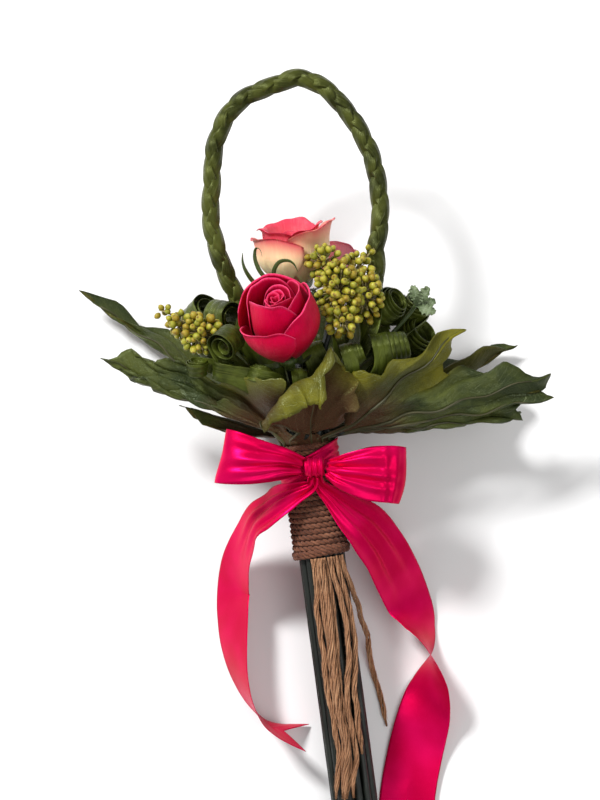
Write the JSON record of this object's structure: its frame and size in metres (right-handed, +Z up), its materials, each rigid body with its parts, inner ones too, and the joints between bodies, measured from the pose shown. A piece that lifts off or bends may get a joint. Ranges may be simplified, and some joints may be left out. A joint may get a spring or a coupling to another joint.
{
  "type": "rose bouquet",
  "caption": "Round hand-tied bouquet with roses, berry sprays and rolled leaves in a collar of lobed leaves, a braided leaf handle, a jute binding and a satin bow.",
  "frame": {"origin": "on the ground, under the middle of the lying bouquet's box", "axes": "+Z up, away from the ground that the bouquet lies on; +Y along the bouquet, from the cut stems towards the handle; +X to the right when it is seen from its front, which faces up"},
  "size_m": [0.3192, 0.5116, 0.1606],
  "materials": {
    "rose_stem_green": "satin",
    "crimson_petal": "satin",
    "cream_petal": "satin",
    "pink_petal": "satin",
    "collar_leaf_green": "satin",
    "rolled_leaf_green": "satin",
    "braid_green": "satin",
    "berry_green": "satin",
    "sprig_green": "matte",
    "jute_brown": "matte",
    "jute_yarn_brown": "matte",
    "satin_pink": "satin"
  },
  "bodies": {
    "root": {"front_rose_stem": "rose_stem_green", "front_rose_heart": "crimson_petal", "front_rose_petal_1": "crimson_petal", "front_rose_petal_2": "crimson_petal", "front_rose_petal_3": "crimson_petal", "front_rose_petal_4": "crimson_petal", "front_rose_petal_5": "crimson_petal", "front_rose_petal_6": "crimson_petal", "front_rose_petal_7": "crimson_petal", "front_rose_petal_8": "crimson_petal", "back_rose_stem": "rose_stem_green", "back_rose_heart": "cream_petal", "back_rose_petal_1": "cream_petal", "back_rose_petal_2": "cream_petal", "back_rose_petal_3": "cream_petal", "back_rose_petal_4": "cream_petal", "back_rose_petal_5": "cream_petal", "third_rose_stem": "rose_stem_green", "third_rose_heart": "pink_petal", "third_rose_petal_1": "pink_petal", "third_rose_petal_2": "pink_petal", "collar_leaf_right_front": "collar_leaf_green", "collar_leaf_right_back": "collar_leaf_green", "collar_leaf_back": "collar_leaf_green", "collar_leaf_left_back": "collar_leaf_green", "collar_leaf_left_front": "collar_leaf_green", "collar_leaf_front": "collar_leaf_green", "rolled_leaf_left_upper": "rolled_leaf_green", "rolled_leaf_left_rear": "rolled_leaf_green", "rolled_leaf_left_lower": "rolled_leaf_green", "rolled_leaf_left_small": "rolled_leaf_green", "rolled_leaf_under_rose": "rolled_leaf_green", "rolled_leaf_front": "rolled_leaf_green", "rolled_leaf_right_front": "rolled_leaf_green", "rolled_leaf_right_coil": "rolled_leaf_green", "rolled_leaf_right_upper": "rolled_leaf_green", "rolled_leaf_right_rear": "rolled_leaf_green", "rolled_leaf_back_left": "rolled_leaf_green", "rolled_leaf_back_low": "rolled_leaf_green", "rolled_leaf_back_right": "rolled_leaf_green", "handle_braid_strand_1": "braid_green", "handle_braid_strand_2": "braid_green", "handle_braid_strand_3": "braid_green", "berry_spray_right": "berry_green", "berry_spray_left": "berry_green", "frilly_sprig": "sprig_green", "jute_binding": "jute_brown", "jute_yarn_1": "jute_yarn_brown", "jute_yarn_2": "jute_yarn_brown", "jute_yarn_3": "jute_yarn_brown", "jute_yarn_4": "jute_yarn_brown", "jute_yarn_5": "jute_yarn_brown", "jute_yarn_6": "jute_yarn_brown", "jute_yarn_7": "jute_yarn_brown", "ribbon_loop_left": "satin_pink", "ribbon_loop_right": "satin_pink", "ribbon_tail_left": "satin_pink", "ribbon_tail_right": "satin_pink", "ribbon_knot": "satin_pink", "ribbon_neck_band": "satin_pink"}
  },
  "joints": []
}
